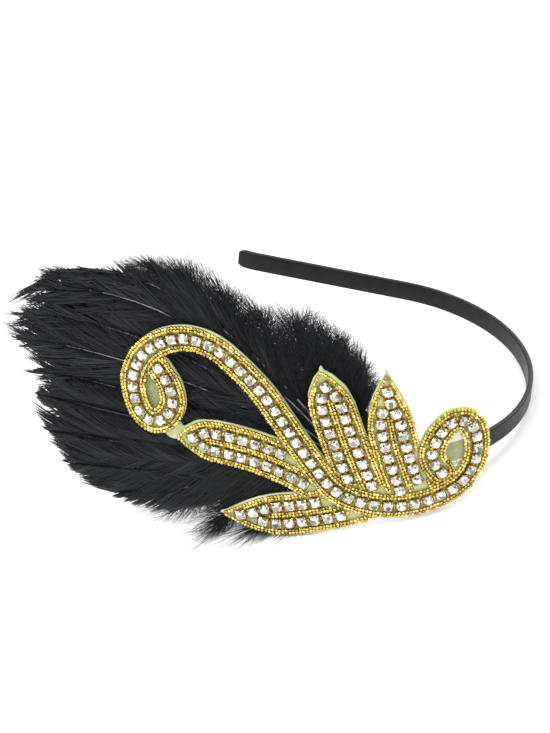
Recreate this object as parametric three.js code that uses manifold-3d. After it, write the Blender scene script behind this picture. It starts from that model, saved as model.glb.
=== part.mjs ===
// A flapper headband: a narrow satin-covered alice band with a gold beaded scroll-and-leaf ornament on one
// side. The ornament is set with rows of clear cup-chain stones, and a spray of black feathers is glued
// behind it, on a round felt pad. Millimetres, +Z up. The piece lies on its side on a surface, as it is put
// down on a table: one arm of the band lies on the table, and the ornament stands on its lowest leaf.
import * as THREE from "three";
import { mergeVertices } from "three/addons/utils/BufferGeometryUtils.js";
import { ConvexHull } from "three/addons/math/ConvexHull.js";
import Module from "manifold-3d";

const wasm = await Module();
wasm.setup();

// Band: half an ellipse over the crown, then two straight arms that toe in
const bandWidth = 7.5;
const bandThickness = 2;
const bandEdgeRound = 0.55;
const crownSteps = 16;
const crownDepth = 61;
const crownHalfWidth = 64;
const armToeIn = 10;
const armLength = 60;
const tipLength = 8;
const tipFlare = 9;

// Where the ornament sits on the band, and how it bends round the head on either side of that place
const seatTurn = 75;
const crownSideRadius = 90;
const armSideRadius = 300;
const bendStep = 12;

// Layers between the band and the face of the ornament
const clearance = 0.3;
const padThickness = 1.5;
const padRadius = 17;
const padSides = 20;
const featherThickness = 1.6;
const featherLayers = 3;
const backingThickness = 1;

// Cup chain: square cups joined by small links, each with a stone of eight facets round a table
const stonePitch = 4.8;
const stoneSlack = 0.98;
const tipToStone = 5.4;
const cupSize = 4.1;
const cupHeight = 1.7;
const stoneRise = 0.9;
const stoneCorner = 1.1;
const tableSize = 2.3;
const linkWidth = 1.4;
const linkHeight = 0.6;

// Gold bead ropes beside the stones, and the fabric left showing outside them
const ropeRadius = 0.9;
const ropeGap = 0.8;
const backingMargin = 0.9;

// Ornament and feather spray: the shares in the tables below are of these sizes
const ornamentWidth = 130;
const ornamentHeight = 72;
const leafHalfWidth = 7.3;
const leafPoint = 3;
const featherReach = 125;
const featherRise = 70;

// The scroll's line of stones, from the inner end of its left curl to the inner end of its right curl
const scrollRoute = [
  // u as a share of the ornament's width, v as a share of its height
  { u: -0.512, v: 0.375 },
  { u: -0.478, v: 0.295 },
  { u: -0.464, v: 0.195 },
  { u: -0.483, v: 0.105 },
  { u: -0.52, v: 0.068 },
  { u: -0.557, v: 0.11 },
  { u: -0.58, v: 0.21 },
  { u: -0.583, v: 0.31 },
  { u: -0.558, v: 0.43 },
  { u: -0.505, v: 0.53 },
  { u: -0.435, v: 0.583 },
  { u: -0.362, v: 0.57 },
  { u: -0.29, v: 0.492 },
  { u: -0.215, v: 0.375 },
  { u: -0.155, v: 0.243 },
  { u: -0.065, v: 0.035 },
  { u: 0.01, v: -0.108 },
  { u: 0.1, v: -0.163 },
  { u: 0.205, v: -0.163 },
  { u: 0.3, v: -0.11 },
  { u: 0.36, v: -0.03 },
  { u: 0.387, v: 0.085 },
  { u: 0.382, v: 0.21 },
  { u: 0.354, v: 0.3 },
  { u: 0.31, v: 0.315 },
  { u: 0.275, v: 0.245 },
  { u: 0.259, v: 0.145 },
  { u: 0.27, v: 0.075 },
  { u: 0.294, v: 0.02 },
];

// The four leaves: the root, middle and tip of each midrib, and how much of its length it takes to open to
// its full width, as a share of the ornament's height
const leaves = [
  { name: "tall_leaf", root: [0.085, -0.09], middle: [0.004, 0.243], tip: [-0.06, 0.545], opening: 0.2 },
  { name: "right_leaf", root: [0.217, -0.09], middle: [0.146, 0.25], tip: [0.115, 0.565], opening: 0.32 },
  { name: "left_leaf", root: [-0.046, -0.07], middle: [-0.231, 0.031], tip: [-0.438, 0.014], opening: 0.18 },
  { name: "low_leaf", root: [0.138, -0.11], middle: [-0.092, -0.281], tip: [-0.285, -0.361], opening: 0.3 },
];

// Patches of backing that fill the curls and bridge to the left leaf: centre as shares, radius in shares
const backingPatches = [
  { u: -0.525, v: 0.235, radius: 0.055 },
  { u: 0.32, v: 0.16, radius: 0.06 },
  { u: -0.458, v: 0.045, radius: 0.03 },
];

// Where the felt pad sits
const padCentre = { u: -0.014, v: 0.117 };

// Feathers, each a lock from the pad to its tip. Places are shares of the reach and the rise, and the width
// and lift are shares of the rise: lift is how far the tip stands out from its layer
const broadFeathers = [
  { from: [-0.02, 0.06], bow: [-0.45, 0.04], tip: [-0.89, -0.04], width: 0.25, lift: 0 },
  { from: [-0.02, 0.03], bow: [-0.43, -0.08], tip: [-0.83, -0.19], width: 0.25, lift: 0.043 },
  { from: [-0.02, 0], bow: [-0.4, -0.17], tip: [-0.74, -0.32], width: 0.23, lift: 0.043 },
  { from: [-0.02, -0.03], bow: [-0.36, -0.25], tip: [-0.64, -0.4], width: 0.17, lift: 0.029 },
];
const longFeathers = [
  { from: [-0.02, 0.16], bow: [-0.5, 0.77], tip: [-0.92, 0.68], width: 0.2, lift: 0.029 },
  { from: [-0.02, 0.13], bow: [-0.5, 0.61], tip: [-0.97, 0.51], width: 0.22, lift: 0.043 },
  { from: [-0.02, 0.1], bow: [-0.52, 0.45], tip: [-0.98, 0.36], width: 0.22, lift: 0.029 },
  { from: [-0.02, 0.08], bow: [-0.5, 0.3], tip: [-0.95, 0.22], width: 0.22, lift: 0.043 },
  { from: [-0.02, 0.06], bow: [-0.5, 0.15], tip: [-0.9, 0.08], width: 0.22, lift: 0.014 },
];
const upperDown = [
  { from: [0, 0.15], bow: [-0.34, 0.58], tip: [-0.49, 0.95], width: 0.26, lift: 0 },
  { from: [0, 0.15], bow: [-0.25, 0.54], tip: [-0.37, 0.88], width: 0.26, lift: -0.029 },
  { from: [0, 0.15], bow: [-0.17, 0.5], tip: [-0.26, 0.83], width: 0.26, lift: -0.014 },
  { from: [0, 0.15], bow: [-0.09, 0.48], tip: [-0.15, 0.81], width: 0.26, lift: -0.043 },
  { from: [0, 0.15], bow: [-0.02, 0.46], tip: [-0.04, 0.77], width: 0.25, lift: -0.014 },
  { from: [0, 0.15], bow: [0.03, 0.4], tip: [0.05, 0.64], width: 0.23, lift: -0.029 },
  { from: [0, 0.15], bow: [0.05, 0.32], tip: [0.08, 0.48], width: 0.2, lift: 0 },
];
const lowerDown = [
  { from: [-0.02, -0.03], bow: [-0.28, -0.27], tip: [-0.48, -0.37], width: 0.12, lift: 0 },
  { from: [-0.02, -0.03], bow: [-0.24, -0.25], tip: [-0.36, -0.33], width: 0.12, lift: 0 },
];

// Where each bunch of quills is glued, and how far it spreads, in shares of the ornament's size
const quillHeads = {
  broad: { u: -0.03, v: 0, radius: 0.05 },
  long: { u: -0.03, v: 0.13, radius: 0.06 },
  upper: { u: 0, v: 0.17, radius: 0.06 },
  lower: { u: -0.02, v: -0.04, radius: 0.04 },
};
const lockSteps = 6;

const degrees = THREE.MathUtils.degToRad;

// A closed body through rings of points, with a flat cap at each end
function loft(rings) {
  const count = rings[0].length;
  const faces = [];
  for (let ring = 0; ring < rings.length - 1; ring++) {
    for (let i = 0; i < count; i++) {
      const a = ring * count + i;
      const b = ring * count + ((i + 1) % count);
      faces.push(a, b, b + count, a, b + count, a + count);
    }
  }
  const last = (rings.length - 1) * count;
  for (let i = 1; i < count - 1; i++) {
    faces.push(0, i + 1, i, last, last + i, last + i + 1);
  }
  const geometry = new THREE.BufferGeometry().setFromPoints(rings.flat());
  geometry.setIndex(faces);
  return volumeOf(geometry).volume < 0 ? turnedOut(geometry) : geometry;
}

function turnedOut(geometry) {
  const index = Array.from(geometry.getIndex().array);
  for (let i = 0; i < index.length; i += 3) {
    [index[i + 1], index[i + 2]] = [index[i + 2], index[i + 1]];
  }
  geometry.setIndex(index);
  return geometry;
}

// Shares the vertices that lie together, and drops the faces that this closes up
function welded(geometry) {
  const bare = new THREE.BufferGeometry().setAttribute("position", geometry.getAttribute("position"));
  bare.setIndex(geometry.getIndex());
  const merged = mergeVertices(bare, 1e-4);
  const index = merged.getIndex().array;
  const faces = [];
  for (let i = 0; i < index.length; i += 3) {
    const [a, b, c] = [index[i], index[i + 1], index[i + 2]];
    if (a !== b && b !== c && c !== a) {
      faces.push(a, b, c);
    }
  }
  return merged.setIndex(faces);
}

// Between three.js geometry and the solids that are joined and cut
function toSolid(geometry) {
  const mesh = welded(geometry);
  const triVerts = new Uint32Array(mesh.getIndex().array);
  const vertProperties = mesh.getAttribute("position").array;
  return new wasm.Manifold(new wasm.Mesh({ numProp: 3, vertProperties, triVerts }));
}

function toGeometry(solid) {
  const mesh = solid.getMesh();
  const places = new Float32Array(mesh.numVert * 3);
  for (let i = 0; i < mesh.numVert; i++) {
    places.set(mesh.vertProperties.subarray(i * mesh.numProp, i * mesh.numProp + 3), i * 3);
  }
  const geometry = new THREE.BufferGeometry();
  geometry.setAttribute("position", new THREE.BufferAttribute(places, 3));
  geometry.setIndex(new THREE.BufferAttribute(mesh.triVerts, 1));
  return geometry;
}

function joined(solids) {
  return solids.reduce((whole, piece) => whole.add(piece));
}

// What is left of a cut piece that came apart: its largest body
function largest(solid) {
  return solid.decompose().reduce((best, body) => (body.volume() > best.volume() ? body : best));
}

// The band's centreline in its own plane: x runs from the tips to the crown, y across the head
function bandPoint(turn, side) {
  const angle = degrees(turn);
  return new THREE.Vector2(-crownDepth * (1 - Math.cos(angle)), side * crownHalfWidth * Math.sin(angle));
}

function bandTangent(turn, side) {
  const angle = degrees(turn);
  const along = new THREE.Vector2(-crownDepth * Math.sin(angle), side * crownHalfWidth * Math.cos(angle));
  return along.normalize();
}

function bandSide(side) {
  const stations = [];
  const endTurn = 90 + armToeIn;
  for (let step = 0; step <= crownSteps; step++) {
    const turn = (endTurn * step) / crownSteps;
    stations.push({ at: bandPoint(turn, side), along: bandTangent(turn, side) });
  }
  const arm = stations.at(-1);
  const knee = arm.at.clone().addScaledVector(arm.along, armLength);
  const flared = arm.along.clone().rotateAround(new THREE.Vector2(), side * degrees(-tipFlare));
  const halfway = arm.along.clone().add(flared).normalize();
  stations.push({ at: knee, along: halfway });
  const round = bandThickness / 2;
  stations.push({ at: knee.clone().addScaledVector(flared, tipLength - round), along: flared });
  stations.push({ at: knee.clone().addScaledVector(flared, tipLength), along: flared, narrow: round });
  return stations;
}

// The band's section across its width, with its long edges rounded off
function bandRing({ at, along, narrow = 0 }) {
  const halfWide = bandWidth / 2 - narrow;
  const halfThick = bandThickness / 2 - narrow / 2;
  const round = Math.min(bandEdgeRound, halfThick / 2);
  const corners = [
    [halfThick, halfWide - round],
    [halfThick - round, halfWide],
    [round - halfThick, halfWide],
    [-halfThick, halfWide - round],
    [-halfThick, round - halfWide],
    [round - halfThick, -halfWide],
    [halfThick - round, -halfWide],
    [halfThick, round - halfWide],
  ];
  return corners.map(([out, up]) => new THREE.Vector3(at.x - along.y * out, at.y + along.x * out, up));
}

function headband() {
  const far = bandSide(1).reverse();
  far.forEach((station) => station.along.negate());
  return loft([...far, ...bandSide(-1).slice(1)].map(bandRing));
}

// The ornament is made flat, with u along it, v up it and h out of its back face, and then bent to the head
const featherRoom = featherLayers * featherThickness + (featherLayers - 1) * clearance;
const bandToBacking = bandThickness / 2 + clearance + padThickness + clearance + featherRoom + clearance;
const seat = bandPoint(seatTurn, -1);
const seatAlong = bandTangent(seatTurn, -1).negate();
const seatAngle = Math.atan2(seatAlong.y, seatAlong.x);

function onHead(u, v, h) {
  const radius = u > 0 ? crownSideRadius : armSideRadius;
  const turn = seatAngle + u / radius;
  const back = bandToBacking - radius;
  return new THREE.Vector3(
    seat.x + Math.sin(seatAngle) * back + Math.sin(turn) * (radius + h),
    seat.y - Math.cos(seatAngle) * back - Math.cos(turn) * (radius + h),
    v,
  );
}

function bent(geometry) {
  const place = geometry.getAttribute("position");
  for (let i = 0; i < place.count; i++) {
    const to = onHead(place.getX(i), place.getY(i), place.getZ(i));
    place.setXYZ(i, to.x, to.y, to.z);
  }
  return geometry;
}

// The part of a polygon on one side of a plane across u: above it for side 1, below it for side -1
function polygonSide(polygon, cut, side) {
  const kept = [];
  polygon.forEach((point, i) => {
    const next = polygon[(i + 1) % polygon.length];
    if ((point.x - cut) * side >= 0) {
      kept.push(point);
    }
    if ((point.x - cut) * (next.x - cut) < 0) {
      const [low, high] = point.x < next.x ? [point, next] : [next, point];
      kept.push(low.clone().lerp(high, (cut - low.x) / (high.x - low.x)));
    }
  });
  return kept;
}

// Bends a flat solid after cutting its faces across u, so that they follow the curve of the head
function bentInSteps(solid) {
  const flat = toGeometry(solid).toNonIndexed().getAttribute("position");
  const points = [];
  for (let i = 0; i < flat.count; i += 3) {
    let rest = [0, 1, 2].map((k) => new THREE.Vector3().fromBufferAttribute(flat, i + k));
    const highest = Math.max(...rest.map(({ x }) => x));
    let cut = (Math.floor(Math.min(...rest.map(({ x }) => x)) / bendStep) + 1) * bendStep;
    while (rest.length > 2) {
      const slice = cut < highest ? polygonSide(rest, cut, -1) : rest;
      for (let k = 1; k < slice.length - 1; k++) {
        points.push(slice[0], slice[k], slice[k + 1]);
      }
      rest = cut < highest ? polygonSide(rest, cut, 1) : [];
      cut += bendStep;
    }
  }
  return bent(welded(new THREE.BufferGeometry().setFromPoints(points)));
}

// Points at an even spacing along a smooth curve through a few chosen ones
function smoothLine(points, spacing) {
  const curve = new THREE.CatmullRomCurve3(points, false, "catmullrom", 0.5);
  const steps = Math.max(2, Math.round(curve.getLength() / spacing));
  return curve.getSpacedPoints(steps);
}

function directionAt(line, i) {
  const before = line[Math.max(0, i - 1)];
  const after = line[Math.min(line.length - 1, i + 1)];
  return after.clone().sub(before).normalize();
}

// The same line moved sideways, to the left of its run
function besideLine(line, distance) {
  return line.map((point, i) => {
    const along = directionAt(line, i);
    return new THREE.Vector3(point.x - along.y * distance, point.y + along.x * distance, 0);
  });
}

const onOrnament = ({ u, v }) => new THREE.Vector3(u * ornamentWidth, v * ornamentHeight, 0);
const ropeOffset = cupSize / 2 + ropeGap + ropeRadius;
const scrollHalf = ropeOffset + ropeRadius + backingMargin;
const scrollLine = smoothLine(scrollRoute.map(onOrnament), stonePitch);

// A leaf: the points of its midrib from tip to root, each with how wide the leaf is there
function leafLine({ root, middle, tip, opening }) {
  const [low, mid, high] = [root, middle, tip].map(([u, v]) => onOrnament({ u, v }));
  const curve = new THREE.QuadraticBezierCurve3(high, bowControl(low, mid, high), low);
  const steps = Math.round(curve.getLength() / stonePitch);
  const spacing = curve.getLength() / steps;
  return curve.getSpacedPoints(steps).map((point, i) => {
    const opened = Math.min(1, (i * spacing) / (opening * ornamentHeight));
    return { point, half: leafHalfWidth * Math.sin((Math.PI / 2) * opened) };
  });
}

// The control point that takes a curve from one end through the middle to the other end
function bowControl(start, middle, end) {
  return middle.clone().multiplyScalar(2).sub(start.clone().add(end).multiplyScalar(0.5));
}

// One edge of a leaf at a distance inside its outline, from tip to root
function leafEdge(leaf, side, inset) {
  const rib = leaf.map(({ point }) => point);
  return leaf.map(({ point, half }, i) => {
    const along = directionAt(rib, i);
    const out = side * Math.max(0, half - inset);
    return new THREE.Vector3(point.x - along.y * out, point.y + along.x * out, 0);
  });
}

function distanceToLine(point, line) {
  const segment = new THREE.Line3();
  const near = new THREE.Vector3();
  let least = Infinity;
  for (let i = 0; i < line.length - 1; i++) {
    segment.set(line[i], line[i + 1]).closestPointToPoint(point, true, near);
    least = Math.min(least, near.distanceTo(point));
  }
  return least;
}

// Cup chain laid down stone by stone. Every stone keeps its distance from those already there
const laidStones = [];
function layStone(point, along) {
  const stone = { point, angle: Math.atan2(along.y, along.x) };
  laidStones.push(stone);
  return stone;
}

function scrollStones() {
  return scrollLine.map((point, i) => layStone(point, directionAt(scrollLine, i)));
}

const stoneRoom = cupSize + 2 * ropeRadius + 2 * clearance;
function leafStones(leaf) {
  const rows = [1, -1].map((side) => {
    const start = leaf.findIndex(({ half }) => half > ropeOffset);
    const line = smoothLine(leafEdge(leaf, side, ropeOffset).slice(start - 1), stonePitch / 16);
    const scroll = line.findIndex((point) => distanceToLine(point, scrollLine) < stoneRoom);
    const row = [];
    line.slice(0, scroll).forEach((point, i) => {
      const pastTip = point.distanceTo(leaf[0].point) > tipToStone;
      if (pastTip && laidStones.every((stone) => stone.point.distanceTo(point) >= stonePitch * stoneSlack)) {
        row.push(layStone(point, directionAt(line, i)));
      }
    });
    return row;
  });
  return [...rows[1].reverse(), ...rows[0]];
}

// Height above the back face of the backing at which the chains and ropes lie
const beddedAt = backingThickness + clearance;

function ringAt(centre, angle, corners, height) {
  return corners.map(([x, y]) => {
    const turned = new THREE.Vector2(x, y).rotateAround(new THREE.Vector2(), angle);
    return new THREE.Vector3(centre.x + turned.x, centre.y + turned.y, height);
  });
}

// An octagon: a square of the given size with its corners cut
function cutSquare(size, corner) {
  const half = size / 2;
  const short = half - corner;
  return [
    [half, short],
    [short, half],
    [-short, half],
    [-half, short],
    [-half, -short],
    [-short, -half],
    [short, -half],
    [half, -short],
  ];
}

function stoneInCup({ point, angle }) {
  const rim = beddedAt + cupHeight;
  const table = cutSquare(tableSize, (tableSize * stoneCorner) / cupSize);
  return loft([
    ringAt(point, angle, cutSquare(cupSize, 0), beddedAt),
    ringAt(point, angle, cutSquare(cupSize, stoneCorner), rim),
    ringAt(point, angle, table, rim + stoneRise),
  ]);
}

function chainLink(from, to) {
  const run = to.point.clone().sub(from.point);
  const half = run.length() / 2;
  const centre = from.point.clone().add(to.point).multiplyScalar(0.5);
  const corners = rectangle(half, linkWidth / 2);
  const angle = Math.atan2(run.y, run.x);
  return loft([ringAt(centre, angle, corners, beddedAt), ringAt(centre, angle, corners, beddedAt + linkHeight)]);
}

function rectangle(halfLength, halfWidth) {
  return [
    [halfLength, halfWidth],
    [-halfLength, halfWidth],
    [-halfLength, -halfWidth],
    [halfLength, -halfWidth],
  ];
}

function cupChain(stones) {
  const links = stones.slice(1).map((stone, i) => chainLink(stones[i], stone));
  return joined([...stones.map(stoneInCup), ...links].map(toSolid));
}

// A rope of beads as a plain tube along a line
const ropeSides = 5;
const endTurnSteps = 4;
function rope(line) {
  const rings = line.map((point, i) => {
    const along = directionAt(line, i);
    return Array.from({ length: ropeSides }, (_, k) => {
      const angle = (2 * Math.PI * (k + 0.25)) / ropeSides;
      const out = Math.cos(angle) * ropeRadius;
      const up = beddedAt + ropeRadius + Math.sin(angle) * ropeRadius;
      return new THREE.Vector3(point.x - along.y * out, point.y + along.x * out, up);
    });
  });
  return toSolid(loft(rings));
}

// A half turn round the end of a row of stones, from its left side to its right
function endTurn(centre, along) {
  const start = Math.atan2(along.y, along.x) + Math.PI / 2;
  return Array.from({ length: endTurnSteps + 1 }, (_, k) => {
    const angle = start - (Math.PI * k) / endTurnSteps;
    return new THREE.Vector3(centre.x + Math.cos(angle) * ropeOffset, centre.y + Math.sin(angle) * ropeOffset, 0);
  });
}

function scrollRopes() {
  const left = besideLine(scrollLine, ropeOffset);
  const right = besideLine(scrollLine, -ropeOffset);
  const first = directionAt(scrollLine, 0).negate();
  const last = directionAt(scrollLine, scrollLine.length - 1);
  return [left, right, endTurn(scrollLine[0], first), endTurn(scrollLine.at(-1), last)].map(rope);
}

// A flat plate of an outline, between two heights
function plate(outline, low, high) {
  const shape = new THREE.Shape(outline.map(({ x, y }) => new THREE.Vector2(x, y)));
  const geometry = new THREE.ExtrudeGeometry(shape, { depth: high - low, bevelEnabled: false });
  geometry.deleteAttribute("normal");
  geometry.deleteAttribute("uv");
  geometry.translate(0, 0, low);
  return toSolid(mergeVertices(geometry, 1e-4));
}

function disc(centre, radius, low, high, sides) {
  const geometry = new THREE.CylinderGeometry(radius, radius, high - low, sides);
  geometry.deleteAttribute("normal");
  geometry.deleteAttribute("uv");
  geometry.rotateX(Math.PI / 2);
  geometry.translate(centre.x, centre.y, (low + high) / 2);
  return toSolid(mergeVertices(geometry, 1e-4));
}

// A flat strip along a line, to a distance on either side of it. Inside a tight bend its two corners are one
function strip(line, half, low, high) {
  const edges = [besideLine(line, half), besideLine(line, -half)];
  const lengths = line.slice(1).map((point, i) => {
    const along = point.clone().sub(line[i]);
    const [left, right] = edges.map((edge) => {
      const ahead = edge[i + 1].clone().sub(edge[i]).dot(along) > 0;
      return ahead ? [edge[i], edge[i + 1]] : [edge[i].clone().lerp(edge[i + 1], 0.5)];
    });
    return plate([...left, ...right.reverse()], low, high);
  });
  return joined(lengths);
}

// A leaf's midrib from where there is room for a rope between its two rows of stones
function leafVein(leaf) {
  const wide = leaf.findIndex(({ half }) => half > ropeOffset + cupSize / 2 + ropeRadius);
  return leaf.slice(wide).map(({ point }) => point);
}

function leafPlate(leaf) {
  const left = leafEdge(leaf, 1, -ropeRadius - backingMargin).slice(1);
  const right = leafEdge(leaf, -1, -ropeRadius - backingMargin).slice(1);
  const rib = leaf.map(({ point }) => point);
  const point = rib[0].clone().addScaledVector(directionAt(rib, 0), -leafPoint);
  return plate([point, ...left, ...right.reverse()], 0, backingThickness);
}

function backing(leafLines) {
  const patches = backingPatches.map((patch) =>
    disc(onOrnament(patch), patch.radius * ornamentWidth, 0, backingThickness, 12),
  );
  const ends = [scrollLine[0], scrollLine.at(-1)].map((end) => disc(end, scrollHalf, 0, backingThickness, 12));
  const spine = strip(scrollLine, scrollHalf, 0, backingThickness);
  return joined([spine, ...ends, ...leafLines.map(leafPlate), ...patches]);
}

// A lock of feather: a flat blade, thickest along its shaft, narrow at its root and rounded at its tip
function lock({ from, bow, tip, width, lift }, layer) {
  const [start, middle, end] = [from, bow, tip].map(
    ([u, v]) => new THREE.Vector3(u * featherReach, v * featherRise, layer),
  );
  const curve = new THREE.QuadraticBezierCurve3(start, bowControl(start, middle, end), end);
  const line = curve.getSpacedPoints(lockSteps);
  const rings = line.map((point, i) => {
    const along = directionAt(line, i);
    const share = i / lockSteps;
    const fullness = Math.sin(Math.PI * (0.12 + 0.82 * share)) ** 0.7;
    const aside = new THREE.Vector3(-along.y, along.x, 0).multiplyScalar((width * featherRise * fullness) / 2);
    const thick = (featherThickness / 2) * (1 - 0.5 * share);
    const raised = point.clone().setZ(layer + lift * featherRise * share ** 3);
    return [
      raised.clone().add(aside),
      raised.clone().setZ(raised.z + thick),
      raised.clone().sub(aside),
      raised.clone().setZ(raised.z - thick),
    ];
  });
  return toSolid(loft(rings));
}

// Locks fused to the flat bundle of quills that is glued to the pad
function spray(locks, layer, { u, v, radius }) {
  const half = featherThickness / 2;
  const head = disc(onOrnament({ u, v }), radius * ornamentWidth, layer - half, layer + half, 10);
  return joined([head, ...locks.map((one) => lock(one, layer))]);
}

// How a piece lies by itself on a flat surface: from the face of its hull under its weight, it rolls over
// each edge that its centre of mass lies beyond, until its centre is over the face that it rests on
function restingDown(points, centre, firstDown) {
  const { faces } = new ConvexHull().setFromPoints(points);
  const reach = (face) => {
    const towards = face.normal.dot(firstDown);
    return towards > 0 ? -face.distanceToPoint(centre) / towards : Infinity;
  };
  let face = faces.reduce((best, one) => (reach(one) < reach(best) ? one : best));
  for (let rolls = 0; rolls < faces.length; rolls++) {
    const foot = centre.clone().addScaledVector(face.normal, -face.distanceToPoint(centre));
    const edges = [face.edge, face.edge.next, face.edge.prev];
    const over = edges.find((edge) => {
      const along = edge.head().point.clone().sub(edge.tail().point);
      return along.cross(foot.clone().sub(edge.tail().point)).dot(face.normal) < 0;
    });
    if (!over) {
      break;
    }
    face = over.twin.face;
  }
  return face.normal;
}

// The volume of a closed mesh, and the middle of it
function volumeOf(geometry) {
  const [a, b, c] = [new THREE.Vector3(), new THREE.Vector3(), new THREE.Vector3()];
  const middle = new THREE.Vector3();
  const place = geometry.getAttribute("position");
  const index = geometry.getIndex().array;
  let volume = 0;
  for (let i = 0; i < index.length; i += 3) {
    a.fromBufferAttribute(place, index[i]);
    b.fromBufferAttribute(place, index[i + 1]);
    c.fromBufferAttribute(place, index[i + 2]);
    const part = a.dot(b.clone().cross(c)) / 6;
    volume += part;
    middle.addScaledVector(a.clone().add(b).add(c), part / 4);
  }
  return { volume, middle: middle.divideScalar(volume) };
}

// Where the pieces balance, each by its volume and how heavy its material is
function balanceOf(pieces) {
  const balance = new THREE.Vector3();
  let weight = 0;
  pieces.forEach(({ geometry, material }) => {
    const { volume, middle } = volumeOf(geometry);
    balance.addScaledVector(middle, volume * heft.get(material));
    weight += volume * heft.get(material);
  });
  return balance.divideScalar(weight);
}

const satin = new THREE.MeshStandardMaterial({ color: 0x0d0d0f, roughness: 0.5, metalness: 0 });
const felt = new THREE.MeshStandardMaterial({ color: 0x0a0908, roughness: 0.95, metalness: 0 });
const organza = new THREE.MeshStandardMaterial({ color: 0xc9c98a, roughness: 0.7, metalness: 0 });
const goldBeads = new THREE.MeshStandardMaterial({ color: 0xc9a227, roughness: 0.3, metalness: 1 });
const crystal = new THREE.MeshStandardMaterial({ color: 0xe6e2d6, roughness: 0.05, metalness: 0 });
const feather = new THREE.MeshStandardMaterial({ color: 0x101114, roughness: 0.6, metalness: 0 });

// Grams for each cubic centimetre of a piece: the band has a plastic core, and the stones sit in brass cups
const heft = new Map([
  [satin, 1.05],
  [felt, 0.3],
  [organza, 0.4],
  [goldBeads, 4.2],
  [crystal, 3.9],
  [feather, 0.3],
]);

const headpiece = new THREE.Group();
function addPiece(name, geometry, material) {
  const mesh = new THREE.Mesh(geometry, material);
  mesh.name = name;
  headpiece.add(mesh);
}

const leafLines = leaves.map(leafLine);
const layerStep = featherThickness + clearance;
const broadLayer = -clearance - featherThickness / 2;
const longLayer = broadLayer - layerStep;
const downLayer = longLayer - layerStep;
const padFront = -clearance - featherRoom - clearance;

addPiece("headband", headband(), satin);
const pad = disc(onOrnament(padCentre), padRadius, padFront - padThickness, padFront, padSides);
addPiece("felt_pad", bentInSteps(pad), felt);
addPiece("ornament_backing", bentInSteps(backing(leafLines)), organza);

addPiece("scroll_stones", bent(toGeometry(cupChain(scrollStones()))), crystal);
leaves.forEach(({ name }, i) => {
  addPiece(name + "_stones", bent(toGeometry(cupChain(leafStones(leafLines[i])))), crystal);
});

// Ropes stay clear of the stones. A leaf's ropes stop short of the scroll and of the leaf that it lies beside
const ropeTop = beddedAt + 3 * ropeRadius;
const stoneSpace = rectangle(cupSize / 2 + clearance, cupSize / 2 + clearance);
let taken = joined(
  laidStones.map(({ point, angle }) =>
    toSolid(loft([ringAt(point, angle, stoneSpace, 0), ringAt(point, angle, stoneSpace, ropeTop)])),
  ),
);
function addBeading(name, ropes) {
  addPiece(name, bent(toGeometry(largest(joined(ropes).subtract(taken)))), goldBeads);
}

addBeading("scroll_beading", scrollRopes());
taken = taken.add(strip(scrollLine, ropeOffset + ropeRadius + clearance, 0, ropeTop));
leafLines.forEach((leaf, i) => {
  const edges = [1, -1].map((side) => leafEdge(leaf, side, 0));
  addBeading(leaves[i].name + "_edging", edges.map(rope));
  addBeading(leaves[i].name + "_vein", [rope(leafVein(leaf))]);
  taken = joined([taken, ...edges.map((edge) => strip(edge, ropeRadius + clearance, 0, ropeTop))]);
});

addPiece("broad_feathers", bent(toGeometry(spray(broadFeathers, broadLayer, quillHeads.broad))), feather);
addPiece("long_feathers", bent(toGeometry(spray(longFeathers, longLayer, quillHeads.long))), feather);
addPiece("upper_down", bent(toGeometry(spray(upperDown, downLayer, quillHeads.upper))), feather);
addPiece("lower_down", bent(toGeometry(spray(lowerDown, downLayer, quillHeads.lower))), feather);

// The piece is turned onto the face that it rests on, and stands on z = 0 with its middle over the origin
const shapes = headpiece.children.map(({ geometry }) => geometry);
const corners = shapes.flatMap((geometry) => {
  const place = geometry.getAttribute("position");
  return Array.from({ length: place.count }, (_, i) => new THREE.Vector3().fromBufferAttribute(place, i));
});
const down = restingDown(corners, balanceOf(headpiece.children), new THREE.Vector3(0, 0, -1));
headpiece.quaternion.setFromUnitVectors(down, new THREE.Vector3(0, 0, -1));
const box = new THREE.Box3().setFromObject(headpiece, true);
const middle = box.getCenter(new THREE.Vector3());
headpiece.position.set(-middle.x, -middle.y, -box.min.z);

const whole = new THREE.Group();
whole.add(headpiece);

export default whole;
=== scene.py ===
# A flapper headband: a satin band, an ornament of cut stones and beads, and a spray of black feathers
import math
import random

import bmesh
import bpy
import numpy as np
from mathutils import Matrix, Quaternion, Vector


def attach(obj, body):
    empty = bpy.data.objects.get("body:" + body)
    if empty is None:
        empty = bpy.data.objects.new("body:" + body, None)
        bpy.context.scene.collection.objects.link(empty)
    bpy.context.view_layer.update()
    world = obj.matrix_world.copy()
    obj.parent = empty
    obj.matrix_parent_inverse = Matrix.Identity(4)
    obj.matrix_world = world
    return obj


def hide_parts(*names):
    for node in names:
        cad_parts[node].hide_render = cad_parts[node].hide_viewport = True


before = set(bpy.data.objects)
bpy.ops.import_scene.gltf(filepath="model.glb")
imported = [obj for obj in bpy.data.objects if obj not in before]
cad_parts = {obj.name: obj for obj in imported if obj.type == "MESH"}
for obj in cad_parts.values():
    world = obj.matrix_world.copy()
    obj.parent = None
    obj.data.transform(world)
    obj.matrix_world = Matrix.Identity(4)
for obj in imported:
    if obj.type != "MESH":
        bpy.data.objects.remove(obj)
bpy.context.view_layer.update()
mm = 0.001
dice = random.Random(7)
grain = np.random.default_rng(7)


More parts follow.
